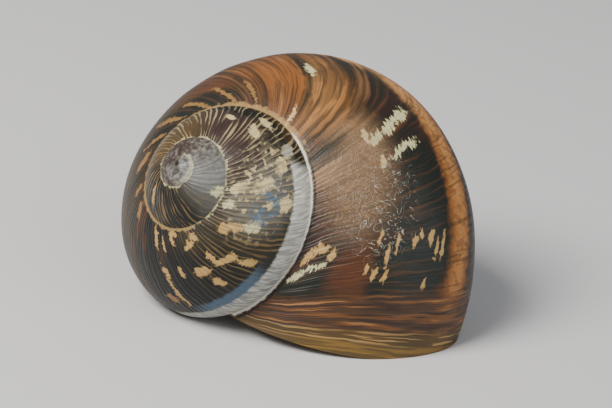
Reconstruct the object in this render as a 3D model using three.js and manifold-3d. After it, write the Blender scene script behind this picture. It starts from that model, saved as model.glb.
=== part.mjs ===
// Land snail shell, in millimetres, +Z up, resting on its aperture with the apex towards the viewer.
// It is one piece: a tube that widens as it coils to the right about an axis, hollow from the
// aperture back into the third whorl. The origin is the middle of its footprint on the ground.
import * as THREE from 'three';
import { ParametricGeometry } from 'three/addons/geometries/ParametricGeometry.js';
import { mergeVertices } from 'three/addons/utils/BufferGeometryUtils.js';
import Module from 'manifold-3d';

const wasm = await Module();
wasm.setup();

const degrees = Math.PI / 180;

// Whorls are counted back from the place where the suture meets the lip: 0 there, negative before it.
const firstWhorl = -3.5;
const tubeEnd = 0.09;
const hollowStart = -2.3;
const hollowEnd = 0.12;

// The tube's oval section at whorl 0. Its side towards the base is fuller than its upper side.
const halfThickness = 3.93;
const slenderness = 1.694;
const baseFullness = 1.45;
const axisOffset = 1.736;
const depthBelowApex = 10.91;
const sectionLean = 51.6 * degrees;

// How fast each of those grows, per whorl.
const thicknessGrowth = 0.8172;
const thicknessSpeedUp = 0.0115;
const slendernessGrowth = -0.1184;
const offsetGrowth = -0.0184;
const depthGrowth = 1.0355;
const depthSpeedUp = 0.0595;

// The rounded beginning of the embryonic shell.
const nucleusLength = 0.22;

// Wall, thinner towards the apex, and the film laid over the whorl before inside the aperture.
const leastWall = 0.15;
const wallShare = 0.075;
const innerFilm = 0.12;

// The lip is thickened along the columella, on the side towards the axis.
const callusThickness = 0.5;
const callusMiddle = 205 * degrees;
const callusHalfWidth = 60 * degrees;
const callusLength = 0.3;

// The tube keeps at least half of this clear of the coiling axis.
const axisClearance = 0.15;

// The solid pillar that closes the umbilicus.
const pillarTop = -1.5;
const pillarFoot = -9.5;
const pillarRadius = 1.05;

// How the coiled shell lies on the ground: the axis leans, its apex end points left and forward.
const axisLean = 55.43 * degrees;
const axisHeading = -129.62 * degrees;
const spin = 32.93 * degrees;
const apexPlace = new THREE.Vector3(-6.144, -4.829, 8.96);

// The left part of the lip arches off the ground, in front of the columella.
const archStart = 4.05;
const archBack = -1;
const archAngle = 7 * degrees;
const trimSize = 60;

const stepsPerWhorl = 36;
const outerSides = 24;
const innerSides = 20;
const stretchSteps = 30;

// Each stretch begins inside the one before it and steps out by a hair, so that they join cleanly.
const plugShare = 0.97;
const joinStep = 0.003;
const mergeDistance = 1e-5;

function tubeSection(whorl) {
  const speedUp = thicknessSpeedUp * whorl * whorl;
  const a = halfThickness * Math.exp(thicknessGrowth * whorl + speedUp);
  const b = a * slenderness * Math.exp(slendernessGrowth * whorl);
  const radius = a * axisOffset * Math.exp(offsetGrowth * whorl);
  const depth = depthBelowApex * Math.exp(depthGrowth * whorl + depthSpeedUp * whorl * whorl);
  return { a, b, radius, depth };
}

function wallAt(whorl) {
  return leastWall + wallShare * tubeSection(whorl).a;
}

function callusAt(whorl, around) {
  const along = Math.max(0, 1 - Math.abs(around - callusMiddle) / callusHalfWidth);
  const nearLip = Math.min(1, Math.max(0, 1 + (whorl - tubeEnd) / callusLength));
  return callusThickness * Math.sin(along * Math.PI / 2) ** 2 * nearLip ** 2;
}

function nucleusRounding(whorl) {
  const t = Math.min(1, (whorl - firstWhorl) / nucleusLength);
  return Math.sqrt(Math.max(0, 1 - (1 - t) * (1 - t)));
}

// A point of the half-plane through the axis: share 0 is the tube's middle, 1 the oval itself.
function ovalPoint(whorl, around, inset, share) {
  const { a, b, radius, depth } = tubeSection(whorl);
  const fullness = Math.cos(around) < 0 ? baseFullness : 1;
  const across = share * (a * fullness - inset) * Math.cos(around);
  const along = share * (b - inset) * Math.sin(around);
  return {
    outward: radius + across * Math.cos(sectionLean) - along * Math.sin(sectionLean),
    up: -depth + across * Math.sin(sectionLean) + along * Math.cos(sectionLean),
  };
}

function isInOval({ outward, up }, whorl, margin) {
  const { a, b, radius, depth } = tubeSection(whorl);
  const x = (outward - radius) * Math.cos(sectionLean) + (up + depth) * Math.sin(sectionLean);
  const y = (up + depth) * Math.cos(sectionLean) - (outward - radius) * Math.sin(sectionLean);
  const across = x / (margin + (x < 0 ? a * baseFullness : a));
  const along = y / (margin + b);
  return across * across + along * along < 1;
}

function turned({ outward, up }, whorl, target) {
  const fromAxis = (outward + Math.hypot(outward, axisClearance)) / 2;
  const turn = -2 * Math.PI * whorl;
  target.set(fromAxis * Math.cos(turn), fromAxis * Math.sin(turn), up);
}

// The hollow stops at the wall of the whorl before it, which bulges into it.
function hollowPoint(whorl, around, share) {
  const wall = wallAt(whorl);
  let reach = share;
  let step = share / 2;
  while (step > 0.001) {
    const blocked = isInOval(ovalPoint(whorl, around, wall, reach), whorl - 1, innerFilm);
    reach = blocked ? reach - step : Math.min(share, reach + step);
    step /= 2;
  }
  return ovalPoint(whorl, around, wall, reach);
}

const resting = new THREE.Matrix4()
  .makeTranslation(apexPlace)
  .multiply(new THREE.Matrix4().makeRotationZ(axisHeading))
  .multiply(new THREE.Matrix4().makeRotationY(axisLean))
  .multiply(new THREE.Matrix4().makeRotationZ(spin));

// Shared vertices are merged, and faces that this leaves with no area are dropped.
function merged(geometry) {
  geometry.deleteAttribute('normal');
  geometry.deleteAttribute('uv');
  const result = mergeVertices(geometry, mergeDistance);
  const index = result.index.array;
  const faces = [];
  for (let i = 0; i < index.length; i += 3) {
    const [p, q, r] = [index[i], index[i + 1], index[i + 2]];
    if (p !== q && q !== r && r !== p) faces.push(p, q, r);
  }
  return result.setIndex(faces);
}

function solid(geometry) {
  const closed = merged(geometry);
  const vertProperties = closed.attributes.position.array;
  const triVerts = new Uint32Array(closed.index.array);
  return new wasm.Manifold(new wasm.Mesh({ numProp: 3, vertProperties, triVerts }));
}

// A tube through rings, each a whorl count and a share of the oval, closed to a point at each end.
function tube(rings, sides, pointAt) {
  const rows = rings.length + 1;
  const sweep = (u, v, target) => {
    const row = Math.round(v * rows);
    const ring = rings[Math.min(rings.length - 1, Math.max(0, row - 1))];
    const share = row === 0 || row === rows ? 0 : ring.share;
    turned(pointAt(ring.whorl, 2 * Math.PI * u, share), ring.whorl, target);
  };
  const geometry = new ParametricGeometry(sweep, sides, rows);
  return solid(geometry.applyMatrix4(resting));
}

function outerStretch(first, last) {
  const rings = [];
  for (let step = first; step <= last; step += 1) {
    const whorl = step / stepsPerWhorl;
    rings.push({ whorl, share: nucleusRounding(whorl) });
  }
  if (first / stepsPerWhorl > firstWhorl) {
    rings[0].share = 1 + joinStep / tubeSection(first / stepsPerWhorl).a;
    rings.unshift({ whorl: (first - 1) / stepsPerWhorl, share: plugShare });
  }
  return tube(rings, outerSides, (whorl, around, share) => {
    return ovalPoint(whorl, around, -callusAt(whorl, around), share);
  });
}

function outerBody() {
  const firstStep = Math.round(firstWhorl * stepsPerWhorl);
  const lastStep = Math.round(tubeEnd * stepsPerWhorl);
  let body = null;
  for (let first = firstStep; first < lastStep; first += stretchSteps) {
    const last = Math.min(lastStep, first + stretchSteps);
    const next = outerStretch(first, last);
    const trimmed = last === lastStep ? next.subtract(lipArch()) : next;
    body = body ? body.add(trimmed) : trimmed;
  }
  return body;
}

function hollow() {
  const rings = [];
  for (let step = hollowStart * stepsPerWhorl; step <= hollowEnd * stepsPerWhorl; step += 1) {
    rings.push({ whorl: step / stepsPerWhorl, share: 1 });
  }
  return tube(rings, innerSides, hollowPoint);
}

function pillar() {
  const profile = [
    new THREE.Vector2(0, pillarFoot),
    new THREE.Vector2(0.75 * pillarRadius, pillarFoot + 0.25),
    new THREE.Vector2(pillarRadius, pillarFoot + 1),
    new THREE.Vector2(0.12, pillarTop),
    new THREE.Vector2(0, pillarTop),
  ];
  const lathe = new THREE.LatheGeometry(profile, 14).rotateX(Math.PI / 2);
  return solid(lathe.applyMatrix4(resting));
}

function ground() {
  return solid(new THREE.BoxGeometry(trimSize, trimSize, trimSize).translate(0, 0, -trimSize / 2));
}

function lipArch() {
  const block = new THREE.BoxGeometry(trimSize, trimSize, trimSize);
  block.translate(-trimSize / 2, -trimSize / 2, -trimSize / 2);
  block.rotateY(archAngle).translate(archStart, archBack, 0);
  return solid(block);
}

function makeShell() {
  const body = outerBody().add(pillar()).subtract(hollow()).subtract(ground());
  const { vertProperties, triVerts } = body.getMesh();
  const geometry = new THREE.BufferGeometry();
  geometry.setAttribute('position', new THREE.BufferAttribute(vertProperties, 3));
  geometry.setIndex(new THREE.BufferAttribute(triVerts, 1));
  return merged(geometry);
}

const shellMaterial = new THREE.MeshStandardMaterial({ color: 0x6b4a2c, roughness: 0.42, metalness: 0 });
const shell = new THREE.Mesh(makeShell(), shellMaterial);
shell.name = 'shell';

const part = new THREE.Group();
part.add(shell);

export default part;
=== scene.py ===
"""A land snail's shell, grown from the same growth law as the part's source, then coloured by what the
whorl and the place round the tube say. Metres, in the part's frame."""
import math
from types import SimpleNamespace

import bpy
import bmesh
import numpy as np
from mathutils import Matrix, Vector


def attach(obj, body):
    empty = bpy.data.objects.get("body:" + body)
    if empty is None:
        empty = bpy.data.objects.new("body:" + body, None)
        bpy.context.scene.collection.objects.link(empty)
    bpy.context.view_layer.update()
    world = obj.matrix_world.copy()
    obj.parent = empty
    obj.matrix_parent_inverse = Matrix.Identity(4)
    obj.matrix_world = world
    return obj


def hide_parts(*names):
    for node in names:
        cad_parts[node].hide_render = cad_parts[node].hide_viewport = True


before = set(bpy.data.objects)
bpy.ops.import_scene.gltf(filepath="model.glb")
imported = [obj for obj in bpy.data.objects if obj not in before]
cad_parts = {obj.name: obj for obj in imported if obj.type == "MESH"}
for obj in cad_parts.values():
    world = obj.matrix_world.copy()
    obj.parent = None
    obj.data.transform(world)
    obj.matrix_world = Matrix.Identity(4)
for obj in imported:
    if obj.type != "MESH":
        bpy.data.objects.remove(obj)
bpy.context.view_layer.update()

MM = 0.001
TURN = 2 * math.pi

# The growth law, in whorls from the lip back to the first whorl, with lengths in millimetres
FIRST_WHORL = -3.5
TUBE_END = 0.09
HOLLOW_START = -2.3
HOLLOW_END = 0.12
HALF_THICKNESS = 3.93
SLENDERNESS = 1.694
BASE_FULLNESS = 1.45
AXIS_OFFSET = 1.736
DEPTH_BELOW_APEX = 10.91
SECTION_LEAN = math.radians(51.6)
THICKNESS_GROWTH = 0.8172
THICKNESS_SPEED_UP = 0.0115
SLENDERNESS_GROWTH = -0.1184
OFFSET_GROWTH = -0.0184
DEPTH_GROWTH = 1.0355
DEPTH_SPEED_UP = 0.0595
NUCLEUS_LENGTH = 0.22
LEAST_WALL = 0.12
WALL_SHARE = 0.05
INNER_FILM = 0.12
CALLUS_THICKNESS = 0.5
CALLUS_MIDDLE = math.radians(205)
CALLUS_HALF_WIDTH = math.radians(60)
CALLUS_LENGTH = 0.3
AXIS_CLEARANCE = 0.15

# How growth lines lean back round the tube, in whorls and degrees, and the form of the lip
LIP_REACH = 0.09
LIP_BACK = 0.145
LIP_SPREAD = 50
LIP_TOP = 60
LINE_SLOPE = 0.0011
FAN_SLOPE = 0.0013
SPIRE_SLOPE = 0.0012
LINE_SPREAD = 120
LINE_BACK = 0.045
LIP_ZONE = (-0.2, -0.06)
FAN_ZONE = (-0.28, -0.44)
SPIRE_ZONE = (-0.46, -0.9)

# Growth folds, low waves that follow the growth lines
FOLD_HEIGHT = 0.022
FOLD_RATE = 61
FOLD_WANDER_RATE = 17
FOLD_BEAT_RATE = 23
FOLD_SIZE_GROWTH = 0.8
FOLD_START = -3.2
FOLD_FADE = 0.6

# How the shell lies on the ground
AXIS_LEAN = math.radians(55.43)
AXIS_HEADING = math.radians(-129.62)
SPIN = math.radians(32.93)
APEX_PLACE = (-6.144, -4.829, 8.96)
ARCH_START = 4.05
ARCH_BACK = -1.0
ARCH_ANGLE = math.radians(7)

# How finely the surfaces are drawn
STEPS_PER_WHORL = 216
OUTER_SIDES = 120
HOLLOW_STEPS_PER_WHORL = 72
INNER_SIDES = 48
STRETCH_STEPS = 170
LEAST_STRETCH = 0.2
PILLAR_SIDES = 48
HALVINGS = 24
SMOOTH_ANGLE = math.radians(40)
PLUG_SHARE = 0.97
JOIN_STEP = 0.003
JOIN_SHIFT = JOIN_STEP / 40
SEAM_AROUND = math.radians(130)
INSIDE_MARK = 10
EDGE_MARK = 20
LIP_STRETCH = -0.167
TRIM_SIZE = 60
WHORL_IN_DEGREES = 450
WHORL_LENGTH = 52.4
RIBLETS_PER_MM = 5.2
PILLAR_PROFILE = ((0.02, -1.5), (0.12, -1.6), (1.05, -8.5), (0.79, -9.25), (0.02, -9.5))


def grow(whorl):
    thick = HALF_THICKNESS * math.exp(THICKNESS_GROWTH * whorl + THICKNESS_SPEED_UP * whorl ** 2)
    wide = thick * SLENDERNESS * math.exp(SLENDERNESS_GROWTH * whorl)
    radius = thick * AXIS_OFFSET * math.exp(OFFSET_GROWTH * whorl)
    depth = DEPTH_BELOW_APEX * math.exp(DEPTH_GROWTH * whorl + DEPTH_SPEED_UP * whorl ** 2)
    return thick, wide, radius, depth


def oval_point(whorl, around, inset=0, share=1):
    thick, wide, radius, depth = grow(whorl)
    fullness = np.where(np.cos(around) < 0, BASE_FULLNESS, 1)
    across = share * (thick * fullness - inset) * np.cos(around)
    along = share * (wide - inset) * np.sin(around)
    outward = radius + across * math.cos(SECTION_LEAN) - along * math.sin(SECTION_LEAN)
    up = -depth + across * math.sin(SECTION_LEAN) + along * math.cos(SECTION_LEAN)
    return outward, up


def in_oval(outward, up, whorl, margin=0):
    thick, wide, radius, depth = grow(whorl)
    from_middle = outward - radius
    rise = up + depth
    across = from_middle * math.cos(SECTION_LEAN) + rise * math.sin(SECTION_LEAN)
    along = -from_middle * math.sin(SECTION_LEAN) + rise * math.cos(SECTION_LEAN)
    reach = np.where(across < 0, thick * BASE_FULLNESS, thick) + margin
    return (across / reach) ** 2 + (along / (wide + margin)) ** 2 < 1


def in_space(outward, up, whorl):
    from_axis = (outward + np.hypot(outward, AXIS_CLEARANCE)) / 2
    turn = -TURN * whorl
    return np.stack([from_axis * math.cos(turn), from_axis * math.sin(turn), up], axis=-1)


def nucleus_rounding(whorl):
    share = min(1, max(0, (whorl - FIRST_WHORL) / NUCLEUS_LENGTH))
    return math.sqrt(1 - (1 - share) ** 2)


def callus(whorl, around):
    near_lip = min(1, max(0, 1 + (whorl - TUBE_END) / CALLUS_LENGTH))
    away = np.abs((around - CALLUS_MIDDLE + math.pi) % TURN - math.pi)
    along = np.maximum(0, 1 - away / CALLUS_HALF_WIDTH)
    return CALLUS_THICKNESS * np.sin(along * math.pi / 2) ** 2 * near_lip ** 2


def relief(whorl, around):
    """Growth folds, as millimetres outward. The first whorls are smooth."""
    growth = whorl - lip_lag(around)
    size = math.exp(FOLD_SIZE_GROWTH * whorl)
    wander = 2 * np.sin(growth * FOLD_WANDER_RATE)
    fold = FOLD_HEIGHT * np.sin(growth * FOLD_RATE + wander) * np.sin(growth * FOLD_BEAT_RATE + 1)
    return size * fold * min(1, max(0, (whorl - FOLD_START) / FOLD_FADE))


def lip_lag(around):
    return -LIP_BACK + LIP_REACH * np.exp(np.minimum(np.degrees(around), LIP_TOP) / LIP_SPREAD)


def smooth(value, low, high):
    share = min(1, max(0, (value - low) / (high - low)))
    return share * share * (3 - 2 * share)


def growth_at(whorl, around):
    """Where a point of the shell lies between the growth lines, around in degrees."""
    near_lip = smooth(whorl, *LIP_ZONE)
    slope = LINE_SLOPE + FAN_SLOPE * smooth(whorl, *FAN_ZONE) - SPIRE_SLOPE * smooth(whorl, *SPIRE_ZONE)
    lip_form = LIP_REACH * math.exp(min(around, LIP_TOP) / LIP_SPREAD) - LIP_BACK
    lean = slope * LINE_SPREAD * (math.exp(around / LINE_SPREAD) - 1) - LINE_BACK
    return whorl - lip_form * near_lip - lean * (1 - near_lip)


def around_angles(sides):
    return SEAM_AROUND - np.arange(sides + 1) * TURN / sides


def outer_ring(whorl, angles, share=1):
    size = share * nucleus_rounding(whorl)
    inset = -callus(whorl, angles) - relief(whorl, angles)
    outward, up = oval_point(whorl, angles, inset, size)
    return in_space(outward, up, whorl)


def hollow_ring(whorl, angles, share=1):
    inset = LEAST_WALL + WALL_SHARE * grow(whorl)[0]
    low = np.zeros_like(angles)
    high = np.full_like(angles, share)
    outward, up = oval_point(whorl, angles, inset, high)
    clear = ~in_oval(outward, up, whorl - 1, INNER_FILM)
    low[clear] = share
    for _ in range(HALVINGS):
        middle = (low + high) / 2
        outward, up = oval_point(whorl, angles, inset, middle)
        blocked = in_oval(outward, up, whorl - 1, INNER_FILM)
        high = np.where(blocked, middle, high)
        low = np.where(blocked, low, middle)
    outward, up = oval_point(whorl, angles, inset, low)
    return in_space(outward, up, whorl)


def resting():
    lean = Matrix.Rotation(AXIS_LEAN, 4, "Y")
    heading = Matrix.Rotation(AXIS_HEADING, 4, "Z")
    spin = Matrix.Rotation(SPIN, 4, "Z")
    return Matrix.Translation(Vector(APEX_PLACE)) @ heading @ lean @ spin


REST = np.array(resting())


def tube(name, whorls, sides, ring, mark=0):
    """A closed tube through one ring per whorl count. Its UV map holds the whorl and the turn around."""
    angles = around_angles(sides)
    points = []
    for whorl, share in whorls:
        points.append(ring(whorl, angles[:-1], share))
    points = np.concatenate(points)
    points = points @ REST[:3, :3].T + REST[:3, 3]
    count = len(whorls)
    faces = []
    places = []
    for step in range(count - 1):
        for side in range(sides):
            far = (side + 1) % sides
            faces.append((step * sides + side, step * sides + far,
                          (step + 1) * sides + far, (step + 1) * sides + side))
            near_turn = angles[side] / TURN
            far_turn = angles[side + 1] / TURN
            here = whorls[step][0] + mark
            ahead = whorls[step + 1][0] + mark
            places.append(((here, near_turn), (here, far_turn), (ahead, far_turn), (ahead, near_turn)))
    faces.append(tuple(reversed(range(sides))))
    places.append(tuple((whorls[0][0] + mark, angles[side] / TURN) for side in reversed(range(sides))))
    faces.append(tuple(range((count - 1) * sides, count * sides)))
    places.append(tuple((whorls[-1][0] + mark, angles[side] / TURN) for side in range(sides)))
    mesh = bpy.data.meshes.new(name)
    mesh.from_pydata((points * MM).tolist(), [], faces)
    layer = mesh.uv_layers.new(name="growth")
    flat = [corner for face in places for corner in face]
    layer.data.foreach_set("uv", np.array(flat, dtype=np.float32).ravel())
    face_outward(mesh)
    made = bpy.data.objects.new(name, mesh)
    bpy.context.scene.collection.objects.link(made)
    return made


def stretch(number, first, last):
    step = 1 / STEPS_PER_WHORL
    whorls = []
    if first > FIRST_WHORL:
        whorls.append((first - step, PLUG_SHARE))
    count = round((last - first) * STEPS_PER_WHORL)
    for index in range(count + 1):
        whorls.append((first + (last - first) * index / count, 1))
    if first > FIRST_WHORL:
        whorls[1] = (first + JOIN_SHIFT, 1)
    else:
        whorls[0] = (first + step / 20, 1)
    return tube("stretch_%d" % number, whorls, OUTER_SIDES, outer_ring)


def combine(base, operand, operation):
    change = base.modifiers.new("combine", "BOOLEAN")
    change.operation = operation
    change.object = operand
    change.solver = "MANIFOLD"
    bpy.context.view_layer.objects.active = base
    bpy.ops.object.select_all(action="DESELECT")
    base.select_set(True)
    bpy.ops.object.modifier_apply(modifier=change.name)
    bpy.data.objects.remove(operand)


def face_outward(mesh):
    shaped = bmesh.new()
    shaped.from_mesh(mesh)
    bmesh.ops.recalc_face_normals(shaped, faces=shaped.faces)
    shaped.to_mesh(mesh)
    shaped.free()


def mark_places(made, mark):
    layer = made.data.uv_layers.active
    layer.name = "growth"
    layer.data.foreach_set("uv", np.full(2 * len(layer.data), mark, dtype=np.float32))


def lathe(name, profile, sides):
    """A closed turned solid about the shell's axis, from (radius, height) pairs, top first."""
    points = []
    faces = []
    for radius, height in profile:
        for side in range(sides):
            turn = TURN * side / sides
            points.append((radius * math.cos(turn), radius * math.sin(turn), height))
    for row in range(len(profile) - 1):
        for side in range(sides):
            far = (side + 1) % sides
            here = row * sides
            ahead = here + sides
            faces.append((here + side, here + far, ahead + far, ahead + side))
    faces.append(tuple(range(sides)))
    faces.append(tuple((len(profile) - 1) * sides + side for side in range(sides)))
    points = np.array(points) @ REST[:3, :3].T + REST[:3, 3]
    mesh = bpy.data.meshes.new(name)
    mesh.from_pydata((points * MM).tolist(), [], faces)
    mesh.uv_layers.new(name="growth")
    made = bpy.data.objects.new(name, mesh)
    bpy.context.scene.collection.objects.link(made)
    face_outward(mesh)
    mark_places(made, EDGE_MARK)
    return made


def block(high, lean=0):
    """A large box below and behind its corner, leaning about the front to back line."""
    bpy.ops.mesh.primitive_cube_add(size=TRIM_SIZE * MM)
    made = bpy.context.object
    half = TRIM_SIZE / 2
    for vertex in made.data.vertices:
        vertex.co -= Vector((half, half, half)) * MM
        vertex.co.rotate(Matrix.Rotation(lean, 3, "Y"))
        vertex.co += Vector(high) * MM
    mark_places(made, EDGE_MARK)
    return made


def build_shell():
    length = STRETCH_STEPS / STEPS_PER_WHORL
    starts = []
    at = FIRST_WHORL
    while at < LIP_STRETCH - LEAST_STRETCH:
        starts.append(at)
        at += length
    starts.append(LIP_STRETCH)
    ends = starts[1:] + [TUBE_END]
    shell = None
    for number, (first, last) in enumerate(zip(starts, ends)):
        part = stretch(number, first, last)
        if last == TUBE_END:
            combine(part, block((ARCH_START, ARCH_BACK, 0), ARCH_ANGLE), "DIFFERENCE")
        if shell:
            combine(shell, part, "UNION")
        else:
            shell = part
    combine(shell, lathe("pillar", PILLAR_PROFILE, PILLAR_SIDES), "UNION")
    count = round((HOLLOW_END - HOLLOW_START) * HOLLOW_STEPS_PER_WHORL)
    whorls = []
    for step in range(count + 1):
        whorls.append((HOLLOW_START + (HOLLOW_END - HOLLOW_START) * step / count, 1))
    combine(shell, tube("hollow", whorls, INNER_SIDES, hollow_ring, INSIDE_MARK), "DIFFERENCE")
    combine(shell, block((TRIM_SIZE / 2, TRIM_SIZE / 2, 0)), "DIFFERENCE")
    shell.name = "snail_shell"
    shell.data.name = "snail_shell"
    bpy.ops.object.select_all(action="DESELECT")
    shell.select_set(True)
    bpy.context.view_layer.objects.active = shell
    bpy.ops.object.shade_smooth_by_angle(angle=SMOOTH_ANGLE)
    return shell


class Field:
    """A shader value. It adds, subtracts, multiplies and divides as a number does."""

    tree = None

    def __init__(self, socket):
        self.socket = socket

    @classmethod
    def node(cls, kind, inputs=None, output=0, **settings):
        made = cls.tree.nodes.new("ShaderNode" + kind)
        for name, value in settings.items():
            setattr(made, name, value)
        for key, value in (inputs or {}).items():
            if isinstance(value, Field):
                cls.tree.links.new(value.socket, made.inputs[key])
            else:
                made.inputs[key].default_value = value
        return Field(made.outputs[output])

    @classmethod
    def math(cls, operation, first, second=0.0):
        return cls.node("Math", {0: first, 1: second}, operation=operation)

    def __add__(self, other):
        return self.math("ADD", self, other)

    def __radd__(self, other):
        return self.math("ADD", other, self)

    def __sub__(self, other):
        return self.math("SUBTRACT", self, other)

    def __rsub__(self, other):
        return self.math("SUBTRACT", other, self)

    def __mul__(self, other):
        return self.math("MULTIPLY", self, other)

    def __rmul__(self, other):
        return self.math("MULTIPLY", other, self)

    def __truediv__(self, other):
        return self.math("DIVIDE", self, other)

    def __rtruediv__(self, other):
        return self.math("DIVIDE", other, self)


def exp(value):
    return Field.math("EXPONENT", value)


def rise(value, low, high):
    """0 up to low, 1 from high on, smooth between. Low may lie above high."""
    ends = {"Value": value, "From Min": low, "From Max": high}
    return Field.node("MapRange", ends, interpolation_type="SMOOTHSTEP")


def between(value, low, high, soft):
    return rise(value, low - soft, low + soft) * rise(value, high + soft, high - soft)


def place(across, along, deep=0.0):
    return Field.node("CombineXYZ", {0: across, 1: along, 2: deep})


def noise(vector, scale, detail=2.0, roughness=0.5, distortion=0.0):
    values = {"Vector": vector, "Scale": scale, "Detail": detail,
              "Roughness": roughness, "Distortion": distortion}
    return Field.node("TexNoise", values)


def colour(code):
    """A colour written as red, green and blue from 0 to 255 is turned into the values that light adds in."""
    parts = []
    for part in code:
        part /= 255
        parts.append(part / 12.92 if part <= 0.04045 else ((part + 0.055) / 1.055) ** 2.4)
    return (*parts, 1.0)


def mix(share, first, second):
    made = Field.tree.nodes.new("ShaderNodeMix")
    made.data_type = "RGBA"
    for key, value in ((0, share), (6, first), (7, second)):
        if isinstance(value, Field):
            Field.tree.links.new(value.socket, made.inputs[key])
        else:
            made.inputs[key].default_value = value
    return Field(made.outputs[2])


def patch(where, whorl, around, long, wide, turn=0.0, soft=0.3, rough=0.0):
    """1 inside an oval mark. Long is its half size in whorls and wide in degrees round the tube.
    The last scale is so large that only the first two measures count."""
    growth = growth_at(whorl, around)
    settings = {"Vector": where, "Location": (growth * WHORL_IN_DEGREES, around, 0),
                "Rotation": (0, 0, math.radians(turn)), "Scale": (long * WHORL_IN_DEGREES, wide, 1000)}
    local = Field.node("Mapping", settings, vector_type="TEXTURE")
    far = Field.node("VectorMath", {0: local}, output=1, operation="LENGTH")
    return rise(far + rough, 1 + soft, 1 - soft)


# Colours, as red, green and blue from 0 to 255
NEAR_BLACK = (14, 15, 12)
GREEN_BLACK = (24, 29, 23)
DARK_OLIVE = (44, 38, 23)
OLIVE_BROWN = (82, 64, 36)
PLUM = (44, 29, 25)
PLUM_GREY = (84, 68, 58)
RED_BROWN = (84, 48, 27)
ORANGE_BROWN = (142, 86, 38)
ORANGE = (204, 142, 78)
PEACH = (202, 148, 88)
TAN = (192, 154, 92)
CREAM = (216, 194, 140)
GREEN_CREAM = (208, 204, 152)
PINK_GREY = (150, 120, 88)
FILM = (232, 228, 212)
FILM_GREY = (132, 134, 130)
SLATE_BLUE = (76, 100, 120)
OCHRE = (150, 110, 60)
LIP_OLIVE = (128, 98, 44)
BONE = (176, 170, 150)
STONE = (104, 100, 92)
PURPLE_BROWN = (58, 42, 38)
MOSS_GREY = (108, 106, 80)
LOW_BROWN = (70, 50, 35)
INSIDE = (176, 152, 120)

# Broad fields of colour: whorl, around, half length, half width, turn, softness, strength, colour.
# The whorl and around of most rows here and in MARKS were read off the photo with a scratch script.
FIELDS = (
    (-0.72, 5, 0.19, 80, 0, 0.3, 0.94, DARK_OLIVE),
    (-0.522, 22, 0.09, 12, 0, 0.4, 0.9, GREEN_BLACK),
    (-0.50, 2, 0.07, 14, 0, 0.6, 0.7, OLIVE_BROWN),
    (-0.470, 8, 0.06, 22, 0, 0.6, 0.8, RED_BROWN),
    (-0.382, 0, 0.075, 34, 0, 0.45, 0.8, ORANGE_BROWN),
    (-0.505, 19, 0.075, 10, 0, 0.4, 0.85, GREEN_BLACK),
    (-0.373, -2, 0.007, 24, 0, 0.6, 0.75, DARK_OLIVE),
    (-0.394, -14, 0.015, 10, 0, 0.4, 0.8, GREEN_BLACK),
    (-0.340, 2, 0.022, 24, 0, 0.8, 0.4, PEACH),
    (-0.257, 10, 0.035, 20, 0, 0.6, 0.8, PINK_GREY),
    (-0.218, 6, 0.055, 16, 0, 0.5, 0.75, PLUM_GREY),
    (-0.284, -27, 0.055, 17, 0, 0.4, 0.7, PLUM),
    (-0.225, -22, 0.045, 22, 0, 0.45, 0.9, GREEN_BLACK),
    (-0.224, -38, 0.05, 8, 0, 0.5, 0.8, GREEN_BLACK),
    (-0.164, -24, 0.032, 24, 0, 0.35, 0.93, GREEN_BLACK),
    (-0.159, 26, 0.045, 7, 0, 0.5, 0.85, PLUM),
    (-0.088, 24, 0.022, 9, 0, 0.3, 0.95, GREEN_BLACK),
    (-0.134, 5, 0.026, 9, 0, 0.45, 0.9, RED_BROWN),
    (-0.329, -26, 0.02, 11, 0, 0.3, 0.95, PLUM),
    (-0.303, -55, 0.18, 10, 0, 0.35, 0.95, ORANGE_BROWN),
    (-0.29, -56, 0.16, 6.5, 0, 0.9, 0.85, ORANGE),
    (-0.38, -50, 0.05, 6, 0, 0.8, 0.85, PEACH),
    (-0.218, -74, 0.06, 8, 0, 0.4, 0.9, GREEN_BLACK),
    (-1.035, 2, 0.085, 45, 0, 0.4, 0.92, DARK_OLIVE),
    (-0.93, -15, 0.12, 85, 0, 0.35, 0.97, NEAR_BLACK),
    (-1.324, 8, 0.19, 34, 0, 0.4, 0.9, PURPLE_BROWN),
    (-1.166, -8, 0.07, 30, 0, 0.5, 0.8, STONE),
    (-0.994, 20, 0.07, 14, 0, 0.4, 0.85, DARK_OLIVE),
    (-1.415, -30, 0.05, 9, 0, 0.3, 0.9, NEAR_BLACK),
    (-1.364, -43, 0.04, 9, 0, 0.3, 0.85, NEAR_BLACK),
    (-1.598, 5, 0.14, 60, 0, 0.4, 0.9, OLIVE_BROWN),
    (-1.848, 5, 0.16, 80, 0, 0.3, 0.95, NEAR_BLACK),
    (-2.20, 10, 0.10, 50, 0, 0.5, 0.6, FILM_GREY),
    (-2.32, -5, 0.10, 40, 0, 0.5, 0.7, STONE),
    (-2.62, 5, 0.22, 60, 0, 0.4, 0.9, PURPLE_BROWN),
    (-3.02, -5, 0.18, 40, 0, 0.5, 0.7, PLUM_GREY),
    (-3.10, 38, 0.30, 22, 0, 0.6, 0.8, FILM_GREY),
    (-3.22, 6, 0.24, 9, 0, 0.5, 0.9, BONE),
)

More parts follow.
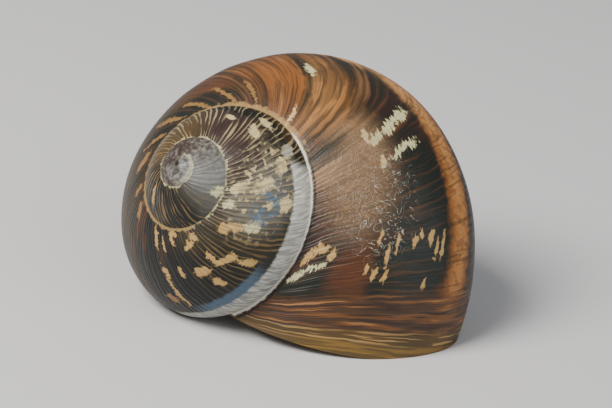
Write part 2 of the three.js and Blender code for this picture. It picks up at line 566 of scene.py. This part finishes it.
# Marks that stand out: whorl, around, half length, half width, turn, colour
MARKS = (
    (-0.300, -30, 0.005, 7, 3, GREEN_CREAM),
    (-0.288, -19, 0.005, 6, -4, GREEN_CREAM),
    (-0.276, -9, 0.006, 5, -4, GREEN_CREAM),
    (-0.281, -4, 0.008, 1.6, 0, CREAM),
    (-0.271, -27, 0.004, 6, 4, GREEN_CREAM),
    (-0.261, -18, 0.004, 5, -4, GREEN_CREAM),
    (-0.250, -8, 0.007, 1.8, -4, CREAM),
    (-0.175, -5, 0.009, 1.0, 10, TAN),
    (-0.161, -10, 0.009, 1.1, 0, TAN),
    (-0.177, -14, 0.010, 1.2, 0, TAN),
    (-0.183, -23, 0.005, 1.6, 0, TAN),
    (-0.191, -26, 0.005, 1.2, 0, TAN),
    (-0.191, -32, 0.007, 1.8, 12, TAN),
    (-0.184, -36, 0.009, 1.1, 8, TAN),
    (-0.188, -40, 0.012, 1.1, 6, TAN),
    (-0.143, -2, 0.005, 1.2, 0, TAN),
    (-0.143, -6, 0.006, 1.3, 0, TAN),
    (-0.145, -11, 0.006, 1.4, 0, TAN),
    (-0.155, -32, 0.005, 1.2, 0, TAN),
    (-0.138, 22, 0.006, 4.5, 20, TAN),
    (-0.120, 27, 0.008, 2.2, 0, TAN),
    (-0.139, 16, 0.006, 2, 0, TAN),
    (-0.113, 22, 0.003, 6, 0, GREEN_CREAM),
    (-0.087, 28, 0.004, 3, 0, GREEN_CREAM),
    (-0.394, -14, 0.006, 5, 0, GREEN_CREAM),
    (-0.343, 23, 0.004, 7, 0, CREAM),
    (-0.526, 18, 0.006, 11, 0, OCHRE),
    (-0.470, 19, 0.005, 13, 0, OCHRE),
    (-0.424, 19, 0.004, 12, 0, OCHRE),
    (-0.577, 15, 0.008, 12, 8, OCHRE),
    (-0.620, 17, 0.006, 10, -8, OCHRE),
    (-0.662, 17, 0.014, 6, 10, OCHRE),
    (-0.725, 20, 0.007, 5, 0, OCHRE),
    (-0.772, 20, 0.010, 6, -10, OCHRE),
    (-0.862, 19, 0.006, 10, 0, TAN),
    (-1.323, -12, 0.018, 7, 0, CREAM),
    (-1.339, -33, 0.018, 7, 0, CREAM),
    (-1.395, -10, 0.014, 4, 0, CREAM),
    (-1.168, 17, 0.016, 8, 0, CREAM),
    (-1.115, 22, 0.012, 6, 20, GREEN_CREAM),
    (-1.192, -6, 0.014, 10, 0, CREAM),
    (-1.271, -38, 0.012, 8, 0, BONE),
    (-1.238, -24, 0.02, 6, 0, CREAM),
    (-1.174, -32, 0.014, 7, 0, CREAM),
    (-1.159, -16, 0.008, 4, 0, CREAM),
    (-1.109, -9, 0.014, 7, 0, GREEN_CREAM),
    (-1.085, 4, 0.010, 5, 0, TAN),
    (-1.066, 12, 0.016, 6, 20, TAN),
    (-1.034, -11, 0.016, 5, 10, TAN),
    (-1.011, -4, 0.006, 9, 0, TAN),
    (-1.056, -23, 0.007, 8, 0, TAN),
    (-0.979, -9, 0.016, 4, 0, TAN),
    (-0.978, 22, 0.01, 7, -30, TAN),
    (-0.963, 16, 0.016, 3, -30, TAN),
    (-0.912, 26, 0.014, 3, 0, TAN),
    (-0.912, 22, 0.006, 5, 0, TAN),
    (-0.889, 16, 0.004, 6, 0, TAN),
    (-0.935, -6, 0.005, 6, 0, TAN),
    (-0.899, -8, 0.006, 4, 0, TAN),
    (-0.917, -26, 0.004, 18, -2, TAN),
    (-0.906, -36, 0.008, 4, 0, OCHRE),
    (-1.000, -24, 0.006, 7, 0, TAN),
    (-1.798, 5, 0.01, 20, 0, TAN),
    (-2.129, -22, 0.02, 14, 0, GREEN_CREAM),
)


def waiting(where, body):
    """The same place, worked out only after body, because Cycles can't hold so many marks at once."""
    values = {0: body, 1: (1e-9, 1e-9, 1e-9), 2: where}
    return Field.node("VectorMath", values, operation="MULTIPLY_ADD")


def coordinates():
    """The whorl and the degrees around, from the piece's own UV map, and what kind of surface it is."""
    given = Field.node("UVMap", uv_map="growth")
    across = Field.node("SeparateXYZ", {0: given})
    along = Field.node("SeparateXYZ", {0: given}, output=1)
    edge = Field.math("GREATER_THAN", across, EDGE_MARK - 2)
    inside = Field.math("GREATER_THAN", across, INSIDE_MARK / 2) - edge
    whorl = across - inside * INSIDE_MARK - edge * EDGE_MARK
    return whorl, along * 360 * (1 - edge), inside, edge


def growth_lines(whorl, around):
    """The same place between the growth lines as growth_at gives, for the shader."""
    lip_form = exp(Field.math("MINIMUM", around, LIP_TOP) / LIP_SPREAD) * LIP_REACH - LIP_BACK
    near_lip = rise(whorl, *LIP_ZONE)
    slope = LINE_SLOPE + rise(whorl, *FAN_ZONE) * FAN_SLOPE - rise(whorl, *SPIRE_ZONE) * SPIRE_SLOPE
    leaning = (exp(around / LINE_SPREAD) - 1) * LINE_SPREAD
    return whorl - lip_form * near_lip - (slope * leaning - LINE_BACK) * (1 - near_lip)


def layout(whorl, around):
    """The places, noises and waves by which the colours are laid out."""
    at = SimpleNamespace(whorl=whorl, around=around)
    at.spot = Field.node("VectorMath", {0: Field.node("TexCoord", output=3), 1: (1000, 1000, 1000)},
                         operation="MULTIPLY")
    at.growth = growth_lines(whorl, around)
    wobble = noise(at.spot, 0.7, 2) - 0.5
    at.length = exp(at.growth * THICKNESS_GROWTH) * WHORL_LENGTH + wobble * 0.22
    shrink = Field.math("MINIMUM", exp(whorl * -THICKNESS_GROWTH), 4)

    at.fine = noise(place(at.length * 7.5, around * 0.03), 1, 2)
    at.broad = noise(place(at.length * 1.4, around * 0.03, 7), 1, 3)
    at.slow = noise(place(at.length * 0.35, around * 0.02, 3), 1, 2)
    at.middle = noise(place(at.length * 3.4, around * 0.015, 5), 1, 2)
    fringe = noise(place(at.length * 1.2, around * 1.1 / shrink, 2), 1, 2) - 0.5
    at.grain = noise(at.spot, 9, 3, 0.6)
    at.wave = Field.math("SINE", at.length * RIBLETS_PER_MM * TURN + (at.middle - 0.5) * 11)

    warp = Field.node("TexNoise", {"Vector": at.spot, "Scale": 2.4, "Detail": 2.0}, output=1)
    warp = Field.node("VectorMath", {0: warp, 1: (0.5, 0.5, 0.5)}, operation="SUBTRACT")
    warp = Field.node("VectorMath", {0: warp, "Scale": shrink * 2.6}, operation="SCALE")
    at.flat = place(at.growth * WHORL_IN_DEGREES, around)
    near = Field.node("VectorMath", {0: at.flat, 1: warp}, operation="ADD")
    at.near = Field.node("VectorMath", {0: near, 1: place(fringe * 7, 0.0)}, operation="ADD")
    warp = Field.node("VectorMath", {0: warp, "Scale": 2.2}, operation="SCALE")
    at.where = Field.node("VectorMath", {0: at.flat, 1: warp}, operation="ADD")
    return at


def lay_fields(at):
    """The ground colour, its bands and the broad fields over it."""
    body = mix(rise(at.slow, 0.35, 0.65), colour(DARK_OLIVE), colour(RED_BROWN))
    body = mix(rise(at.broad, 0.5, 0.75) * 0.7, body, colour(ORANGE_BROWN))
    banded = between(at.around + (at.slow - 0.5) * 14, -42, -6, 4) + between(at.around, -96, -64, 4)
    banded = banded + between(at.around + (at.slow - 0.5) * 8, 6, 22, 3) * 0.8
    body = mix(banded * rise(at.broad, 0.75, 0.45) * 0.9, body, colour(GREEN_BLACK))
    body = mix(rise(at.whorl, -0.9, -1.0) * 0.85, body, colour(GREEN_BLACK))
    body = mix(rise(at.whorl, -1.9, -2.2), body, colour(STONE))
    for *settings, strength, code in FIELDS:
        share = patch(waiting(at.where, body), *settings) * strength
        body = mix(share, body, colour(code))
    return body


def draw_lines(at, body):
    """Growth lines, the speckled band and the riblets of the spire."""
    warm = between(at.whorl, -0.95, 0.2, 0.06)
    fan = between(at.growth, -0.46, -0.22, 0.03) * between(at.around, -50, 40, 8)
    body = mix(rise(at.middle, 0.52, 0.68) * fan * 0.22, body, colour(PEACH))
    body = mix(rise(at.middle, 0.48, 0.38) * fan * 0.7, body, colour(DARK_OLIVE))
    body = mix(rise(at.broad, 0.5, 0.4) * fan * 0.5, body, colour(DARK_OLIVE))
    pale = rise(at.fine, 0.52, 0.66) * between(at.whorl, -0.86, 0.2, 0.05)
    body = mix(pale * 0.13, body, colour(ORANGE_BROWN))
    body = mix(rise(at.fine, 0.46, 0.34) * warm * 0.5, body, colour(GREEN_BLACK))
    speck = rise(noise(at.spot, 2.6, 3, 0.6), 0.5, 0.6) * between(at.around, -72, -46, 4)
    body = mix(speck * between(at.whorl, -0.5, -0.08, 0.03) * 0.45, body, colour(RED_BROWN))
    early = rise(at.broad, 0.5, 0.66) * between(at.whorl, -0.9, -0.5, 0.05)
    body = mix(early * 0.15, body, colour(ORANGE_BROWN))
    riblet = rise(at.wave, 0.25, 0.95) * rise(at.fine, 0.3, 0.55) * rise(at.broad, 0.32, 0.55)
    body = mix(riblet * between(at.growth, -1.55, -1.13, 0.06) * 0.5, body, colour(CREAM))
    body = mix(riblet * between(at.growth, -1.13, -0.92, 0.04) * 0.25, body, colour(TAN))
    return mix(riblet * between(at.growth, -2.0, -1.55, 0.05) * 0.35, body, colour(TAN))


def draw_low_bands(at, body):
    """The fine brown stripes above the lip and the olive band under them."""
    low = between(at.growth, -0.06, -0.024, 0.006)
    body = mix(low * 0.85, body, colour(LOW_BROWN))
    stripe = rise(at.middle * 0.35 + at.fine * 0.65, 0.48, 0.56)
    body = mix(low * stripe * 0.4, body, colour(ORANGE_BROWN))
    body = mix(low * rise(at.fine, 0.48, 0.38) * 0.6, body, colour(PLUM))
    body = mix(low * rise(at.fine, 0.6, 0.68) * 0.4, body, colour(PEACH))
    above_lip = rise(at.growth, -0.028, -0.020)
    body = mix(above_lip * 0.85, body, colour(OLIVE_BROWN))
    return mix(above_lip * rise(at.fine, 0.52, 0.6) * 0.6, body, colour(TAN))


def draw_marks(at, body):
    uneven = (noise(at.spot, 3.5, 3, 0.6) - 0.47) * 2.2
    for *settings, code in MARKS:
        share = patch(waiting(at.near, body), *settings, soft=0.25, rough=uneven) * 0.86
        body = mix(share, body, colour(code))
    return body


def draw_wrinkles(at, body):
    """The worn, wrinkled zone of the last whorl, with the dark wedge beside it, and its fine relief."""
    contour = Field.math("SINE", noise(at.spot, 1.0, 1, 0.5, 0.8) * 85)
    wrinkled = patch(at.flat, -0.235, 6, 0.06, 20, 0, 0.5)
    body = mix(wrinkled * 0.35, body, colour(PINK_GREY))
    squiggle = rise(contour, 0.3, 1) * wrinkled
    body = mix(squiggle * 0.22, body, colour(PEACH))
    wedge = patch(at.flat, -0.264, 21, 0.013, 12, 0, 0.7, (at.fine - 0.5) * 1.6)
    body = mix(wedge * 0.75, body, colour(GREEN_BLACK))
    scratch = rise(Field.math("ABSOLUTE", noise(at.spot, 1.3, 2, 0.5, 2.0) - 0.5), 0.010, 0.003)
    scratch = scratch * patch(at.flat, -0.205, -6, 0.05, 16, 0, 0.4)
    return mix(scratch * 0.5, body, colour(FILM)), contour * wrinkled * (1 - wedge)


def draw_first_whorls(at, body):
    first = rise(at.whorl, -2.1, -2.4)
    mottled = noise(at.spot, 5, 3, 0.65)
    body = mix(first * rise(mottled, 0.52, 0.66) * 0.35, body, colour(BONE))
    body = mix(first * rise(mottled, 0.53, 0.4) * 0.8, body, colour(PURPLE_BROWN))
    crescent = between(at.whorl, -3.42, -2.98, 0.06) * between(at.around, -4, 14, 5)
    body = mix(crescent * 0.6, body, colour(BONE))
    return mix(rise(at.whorl, -3.36, -3.44) * 0.9, body, colour(RED_BROWN))


def draw_sutures(at, body, ragged):
    """The shoulder below the suture, the pale suture of the spire, the crack along the last one, and painted
    shade in the groove beside that crack.
    """
    off = Field.math("ABSOLUTE", at.whorl + 0.5)
    early_top = Field.math("POWER", off, 1.62) * 4.5 * Field.math("LESS_THAN", at.whorl, -0.5)
    late_top = off * off * 15 * Field.math("GREATER_THAN", at.whorl, -0.5)
    from_top = 31.2 + early_top + late_top - at.around
    shoulder = rise(from_top + ragged * 1.4, 4.2, 2.2) * between(at.whorl, -0.98, -0.26, 0.03)
    body = mix(shoulder * 0.55, body, colour(TAN))
    pale_suture = rise(from_top + ragged * 3, 3.0, 0.5) * between(at.whorl, -2.4, -0.98, 0.05)
    body = mix(pale_suture * 0.6, body, colour(GREEN_CREAM))
    crack = rise(from_top + ragged * 0.3, 1.7, 0.9) * between(at.whorl, -0.31, 0.2, 0.01)
    body = mix(crack * 0.9, body, colour(FILM))
    # Painted shade: a broken near-black line in the suture groove beside the white crack of the last whorl.
    painted_groove_shade = between(from_top + ragged * 0.3, 2.0, 3.2, 0.3) * between(at.whorl, -0.29, 0.2, 0.01)
    return mix(painted_groove_shade * rise(noise(at.spot, 3), 0.38, 0.46) * 0.9, body, colour(NEAR_BLACK))


def draw_film(at, body, ragged):
    """The faded and worn third whorl, and the white film with its blue edge along the last suture."""
    from_suture = at.around - exp((at.whorl + 1) * 0.826) * -83.4
    film = between(at.whorl, -1.245, -0.9, 0.012) * rise(from_suture + ragged, 34, 30)
    striae = noise(place(at.length * 15, at.around * 0.05, 9), 1, 2)
    whiter = rise(striae, 0.42, 0.6) * 0.5 + rise(at.whorl, -1.04, -1.2) * 0.5
    film_colour = mix(whiter, colour(FILM_GREY), colour(FILM))
    blue = between(at.whorl, -1.06, -0.95, 0.02) * between(from_suture + ragged, 30, 44, 2)
    body = mix(blue * 0.8, body, colour(SLATE_BLUE))
    faded = patch(at.where, -1.19, -4, 0.10, 30, 0, 0.5)
    body = mix(faded * rise(noise(at.spot, 2.4, 3), 0.5, 0.58) * 0.5, body, colour(MOSS_GREY))
    body = mix(faded * rise(noise(at.spot, 3.1, 3), 0.56, 0.64) * 0.7, body, colour(CREAM))
    worn = patch(at.where, -1.16, -14, 0.042, 11, 0, 0.4) * rise(noise(at.spot, 2.2, 2), 0.42, 0.5)
    body = mix(worn * 0.8, body, colour(SLATE_BLUE))
    return mix(film * 0.92, body, film_colour), film


def draw_lip_and_inside(at, body, inside, edge):
    lip = rise(at.growth, -0.0135, -0.0105)
    lip_colour = mix(rise(at.fine, 0.4, 0.6), colour(LIP_OLIVE), colour(OLIVE_BROWN))
    body = mix(lip * 0.95, body, lip_colour)
    lining = mix(rise(noise(at.spot, 0.5), 0.3, 0.7), colour(INSIDE), colour(PINK_GREY))
    body = mix(inside, body, lining)
    return mix(edge, body, colour(LIP_OLIVE))


def shell_material():
    material = bpy.data.materials.new("snail_shell")
    material.use_nodes = True
    Field.tree = material.node_tree
    surface = material.node_tree.nodes["Principled BSDF"]
    whorl, around, inside, edge = coordinates()
    at = layout(whorl, around)

    body = lay_fields(at)
    body = draw_lines(at, body)
    body = draw_low_bands(at, body)
    body = draw_marks(at, body)
    body, wrinkles = draw_wrinkles(at, body)
    body = draw_first_whorls(at, body)
    ragged = (noise(at.spot, 4, 2) - 0.5) * 5
    body = draw_sutures(at, body, ragged)
    body, film = draw_film(at, body, ragged)
    body = draw_lip_and_inside(at, body, inside, edge)

    height = at.wave * (0.3 - rise(whorl, -0.9, -0.4) * 0.24) + at.fine + at.middle * 1.1
    height = height + at.grain * 0.25 + wrinkles * 0.14
    bump = Field.node("Bump", {"Height": height * (1 - inside * 0.8), "Distance": 0.00006,
                               "Strength": 0.8})
    link = material.node_tree.links.new
    link(body.socket, surface.inputs["Base Color"])
    rough = 0.36 + film * 0.25 + at.grain * 0.14
    link(rough.socket, surface.inputs["Roughness"])
    link(bump.socket, surface.inputs["Normal"])
    surface.inputs["Coat Weight"].default_value = 0.05
    surface.inputs["Specular IOR Level"].default_value = 0.32
    return material


shell = build_shell()
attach(shell, "root")
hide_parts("shell")

shell.data.materials.clear()
shell.data.materials.append(shell_material())

bpy.ops.mesh.primitive_plane_add(size=3)
floor = bpy.context.object
floor.name = "floor"
floor_material = bpy.data.materials.new("floor")
floor_material.use_nodes = True
floor_material.node_tree.nodes["Principled BSDF"].inputs["Base Color"].default_value = (0.62, 0.61, 0.6, 1)
floor_material.node_tree.nodes["Principled BSDF"].inputs["Roughness"].default_value = 0.9
floor.data.materials.append(floor_material)


def area_light(name, place, target, size, power, colour=(1, 1, 1)):
    bpy.ops.object.light_add(type="AREA", location=place)
    lamp = bpy.context.object
    lamp.name = name
    lamp.data.size = size
    lamp.data.energy = power
    lamp.data.color = colour
    lamp.rotation_euler = (Vector(target) - Vector(place)).to_track_quat("-Z", "Y").to_euler()
    return lamp


area_light("key", (-0.12, -0.06, 0.17), (0, 0, 0.005), 0.12, 0.75, (1, 0.98, 0.95))
area_light("fill", (0.16, -0.14, 0.12), (0, 0, 0.005), 0.2, 0.2, (0.92, 0.96, 1))
world = bpy.data.worlds.new("world")
bpy.context.scene.world = world
world.use_nodes = True
world.node_tree.nodes["Background"].inputs["Color"].default_value = (0.9, 0.93, 1, 1)
world.node_tree.nodes["Background"].inputs["Strength"].default_value = 0.3

CAMERA_PLACE = Vector((0.000437, -0.129233, 0.057419))
CAMERA_RIGHT = (0.99844, 0.02091, 0.05176)
CAMERA_UP = (-0.05582, 0.37402, 0.92574)
CAMERA_BACK = (0, -0.92718, 0.37461)
camera_data = bpy.data.cameras.new("camera")
camera_data.lens = 160
camera_data.sensor_width = 36
camera_data.clip_start = 0.01
camera = bpy.data.objects.new("camera", camera_data)
bpy.context.scene.collection.objects.link(camera)
turned = Matrix((CAMERA_RIGHT, CAMERA_UP, CAMERA_BACK)).transposed()
camera.matrix_world = Matrix.Translation(CAMERA_PLACE) @ turned.to_4x4()
bpy.context.scene.camera = camera
